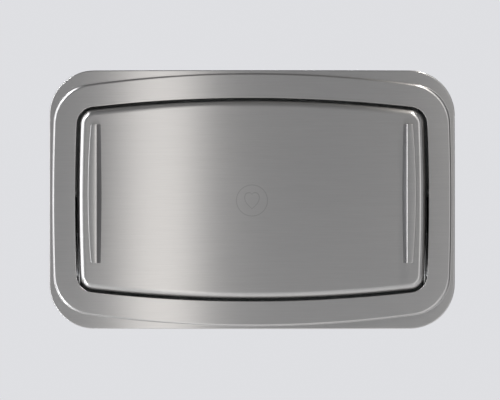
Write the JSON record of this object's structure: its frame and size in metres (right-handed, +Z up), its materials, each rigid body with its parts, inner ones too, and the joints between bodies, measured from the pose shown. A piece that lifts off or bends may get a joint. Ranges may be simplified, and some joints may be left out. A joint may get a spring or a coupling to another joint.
{
  "type": "changing table",
  "caption": "Recessed horizontal baby changing station: a steel wall box with a bowed trim frame and a fold-down bed on side hinges with gas struts, strap and liner dispenser",
  "frame": {"origin": "middle of the box's bottom flange, on its back face, where it rests on the finished wall", "axes": "+X to the right along the unit's length, +Y into the wall, +Z up; the door faces -Y"},
  "size_m": [0.943, 0.1413, 0.602],
  "materials": {
    "brushed_steel": "satin, fine horizontal grain",
    "galvanised_steel": "zinc-coated sheet, dull",
    "plated_steel": "bright zinc plate",
    "grey_plastic": "moulded, fine matt texture",
    "dark_plastic": "moulded, satin",
    "webbing": "woven nylon webbing",
    "black_rubber": "matt",
    "black_paint": "satin black paint",
    "paper": "pressed tissue paper"
  },
  "bodies": {
    "frame": {"wall_box": "galvanised_steel", "trim_frame": "brushed_steel", "back_panel": "grey_plastic", "hinge_bracket_left": "plated_steel", "hinge_bracket_right": "plated_steel", "hinge_bush_left": "dark_plastic", "hinge_bush_right": "dark_plastic", "hinge_bolt_upper_left": "plated_steel", "hinge_bolt_upper_right": "plated_steel", "hinge_bolt_lower_left": "plated_steel", "hinge_bolt_lower_right": "plated_steel", "strut_bracket_left": "plated_steel", "strut_bracket_right": "plated_steel", "liner_dispenser": "dark_plastic", "liner_pack": "paper", "lid_hinge_pin": "plated_steel", "bag_hook_left": "brushed_steel", "bag_hook_right": "brushed_steel", "bumper_left": "black_rubber", "bumper_right": "black_rubber"},
    "bed": {"door_skin": "brushed_steel", "bed_tray": "grey_plastic", "handle_left": "brushed_steel", "handle_right": "brushed_steel", "hinge_arm_left": "plated_steel", "hinge_arm_right": "plated_steel", "hinge_pin_left": "plated_steel", "hinge_pin_right": "plated_steel", "retaining_ring_left": "plated_steel", "retaining_ring_right": "plated_steel", "arm_screw_upper_left": "plated_steel", "arm_screw_upper_right": "plated_steel", "arm_screw_lower_left": "plated_steel", "arm_screw_lower_right": "plated_steel", "crank_nut_left": "plated_steel", "crank_nut_right": "plated_steel", "strap_lower": "webbing", "strap_upper": "webbing", "strap_anchor_lower": "plated_steel", "strap_anchor_upper": "plated_steel", "anchor_screw_lower": "plated_steel", "anchor_screw_upper": "plated_steel", "buckle_base": "plated_steel"},
    "strut_left": {"strut_cylinder_left": "black_paint"},
    "strut_right": {"strut_cylinder_right": "black_paint"},
    "rod_left": {"strut_rod_left": "plated_steel", "crank_stud_left": "plated_steel"},
    "rod_right": {"strut_rod_right": "plated_steel", "crank_stud_right": "plated_steel"},
    "liner_lid": {"dispenser_lid": "dark_plastic", "lock_barrel": "plated_steel"},
    "lock": {"lock_plug": "plated_steel"},
    "buckle_lever": {"cam_lever": "dark_plastic"}
  },
  "joints": [
    {"name": "bed_hinge", "type": "hinge", "parent": "frame", "child": "bed", "pos_m": [0, 0.014, 0.1035], "axis": [1, 0, 0], "range_deg": [0, 90]},
    {"name": "strut_pivot_left", "type": "hinge", "parent": "frame", "child": "strut_left", "pos_m": [-0.4182, 0.044, 0.2935], "axis": [1, 0, 0], "range_deg": [0, 11.81]},
    {"name": "strut_slide_left", "type": "slide", "parent": "strut_left", "child": "rod_left", "axis": [0, 0.1266, 0.9919], "range_m": [0, 0.04634]},
    {"name": "strut_pivot_right", "type": "hinge", "parent": "frame", "child": "strut_right", "pos_m": [0.4182, 0.044, 0.2935], "axis": [1, 0, 0], "range_deg": [0, 11.81]},
    {"name": "strut_slide_right", "type": "slide", "parent": "strut_right", "child": "rod_right", "axis": [0, 0.1266, 0.9919], "range_m": [0, 0.04634]},
    {"name": "liner_lid_hinge", "type": "hinge", "parent": "frame", "child": "liner_lid", "pos_m": [0, 0.0887, 0.421], "axis": [-1, 0, 0], "range_deg": [0, 75]},
    {"name": "lock_turn", "type": "hinge", "parent": "liner_lid", "child": "lock", "pos_m": [0, 0.045, 0.409], "axis": [0, -1, 0], "range_deg": [0, 90]},
    {"name": "buckle_lever_hinge", "type": "hinge", "parent": "bed", "child": "buckle_lever", "pos_m": [0, 0.0006, 0.281], "axis": [1, 0, 0], "range_deg": [0, 80]}
  ],
  "couplings": [
    {"joint": "strut_pivot_left", "follows": "bed_hinge", "ratio": 0.13099},
    {"joint": "strut_slide_left", "follows": "bed_hinge", "m_per_rad": 0.029486},
    {"joint": "strut_pivot_right", "follows": "bed_hinge", "ratio": 0.13099},
    {"joint": "strut_slide_right", "follows": "bed_hinge", "m_per_rad": 0.029486}
  ]
}
